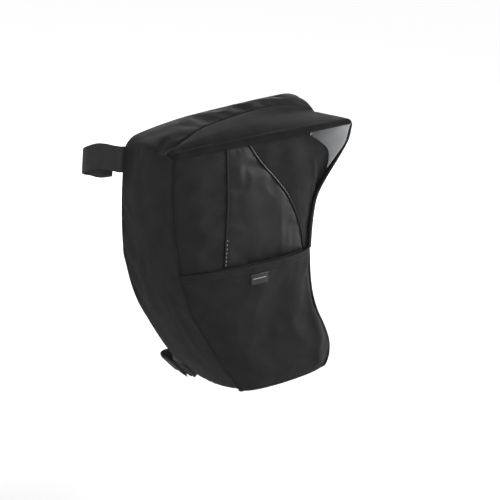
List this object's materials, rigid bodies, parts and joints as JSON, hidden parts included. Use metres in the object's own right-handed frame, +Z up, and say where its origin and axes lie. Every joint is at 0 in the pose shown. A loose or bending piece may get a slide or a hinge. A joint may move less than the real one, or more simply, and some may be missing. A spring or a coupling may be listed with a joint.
{
  "type": "motorcycle side bag",
  "caption": "Soft side-mounted motorcycle bag with a wide curved side strip, a hinged rain hood with a side wing, a slip pocket on the front and two webbing strap loops behind.",
  "frame": {"origin": "middle of the anti-slip pad's outer face on the back, which rests against the motorcycle", "axes": "+Y out of the back towards the motorcycle, +Z up, +X to the bag's right as its front is seen"},
  "size_m": [0.2437, 0.1453, 0.2893],
  "materials": {
    "woven_black": "coarse woven polyester",
    "coated_black": "coated fabric with a slight sheen",
    "foam_dark": "closed-cell foam",
    "lining_grey": "light grey lining",
    "trim_black": "binding and closure tape",
    "piping_grey": "corded piping",
    "webbing_black": "woven webbing",
    "pad_rubber": "ribbed anti-slip rubber",
    "board_plastic": "plain stiffener"
  },
  "bodies": {
    "bag": {"back_panel": "woven_black", "back_pad": "pad_rubber", "back_foam": "foam_dark", "back_board": "board_plastic", "back_lining": "lining_grey", "gusset_upper": "woven_black", "gusset_base": "woven_black", "gusset_foam": "foam_dark", "gusset_lining": "lining_grey", "front_left": "woven_black", "front_insert": "coated_black", "front_right": "woven_black", "front_base": "woven_black", "front_foam": "foam_dark", "front_lining": "lining_grey", "pocket_panel": "woven_black", "pocket_hem": "woven_black", "pocket_label": "trim_black", "edge_binding": "trim_black", "piping_left": "piping_grey", "piping_right": "piping_grey", "mouth_facing": "lining_grey", "loop_strip": "trim_black", "hood_yoke": "woven_black", "upper_root": "webbing_black", "lower_root": "webbing_black"},
    "lid": {"hood_top": "woven_black", "hood_padding": "foam_dark", "hood_lining": "lining_grey", "hood_wing": "woven_black", "wing_lining": "lining_grey", "wing_binding": "trim_black", "hook_strip": "trim_black"},
    "upper_loop": {"upper_strap": "webbing_black", "upper_loop_patch": "trim_black"},
    "upper_end": {"upper_tail": "webbing_black", "upper_hook_patch": "trim_black"},
    "lower_loop": {"lower_strap": "webbing_black", "lower_loop_patch": "trim_black"},
    "lower_end": {"lower_tail": "webbing_black", "lower_hook_patch": "trim_black"}
  },
  "joints": [
    {"name": "hood_hinge", "type": "hinge", "parent": "bag", "child": "lid", "pos_m": [0.001, -0.058, 0.12675], "axis": [-0.9746, -0.2224, -0.026], "range_deg": [0, 110]},
    {"name": "upper_strap_swing", "type": "hinge", "parent": "bag", "child": "upper_loop", "pos_m": [-0.10471, -0.001, 0.09845], "axis": [0.0887, 0, 0.9961], "range_deg": [-25, 25]},
    {"name": "upper_strap_peel", "type": "hinge", "parent": "upper_loop", "child": "upper_end", "pos_m": [-0.131, 0.02776, 0.09763], "axis": [0.0887, 0, 0.9961], "range_deg": [0, 70]},
    {"name": "lower_strap_swing", "type": "hinge", "parent": "bag", "child": "lower_loop", "pos_m": [-0.03263, -0.001, -0.13481], "axis": [0.6795, 0, -0.7337], "range_deg": [-25, 15]},
    {"name": "lower_strap_peel", "type": "hinge", "parent": "lower_loop", "child": "lower_end", "pos_m": [-0.03478, 0.0378, -0.13537], "axis": [0.6795, 0, -0.7337], "range_deg": [0, 70]}
  ]
}
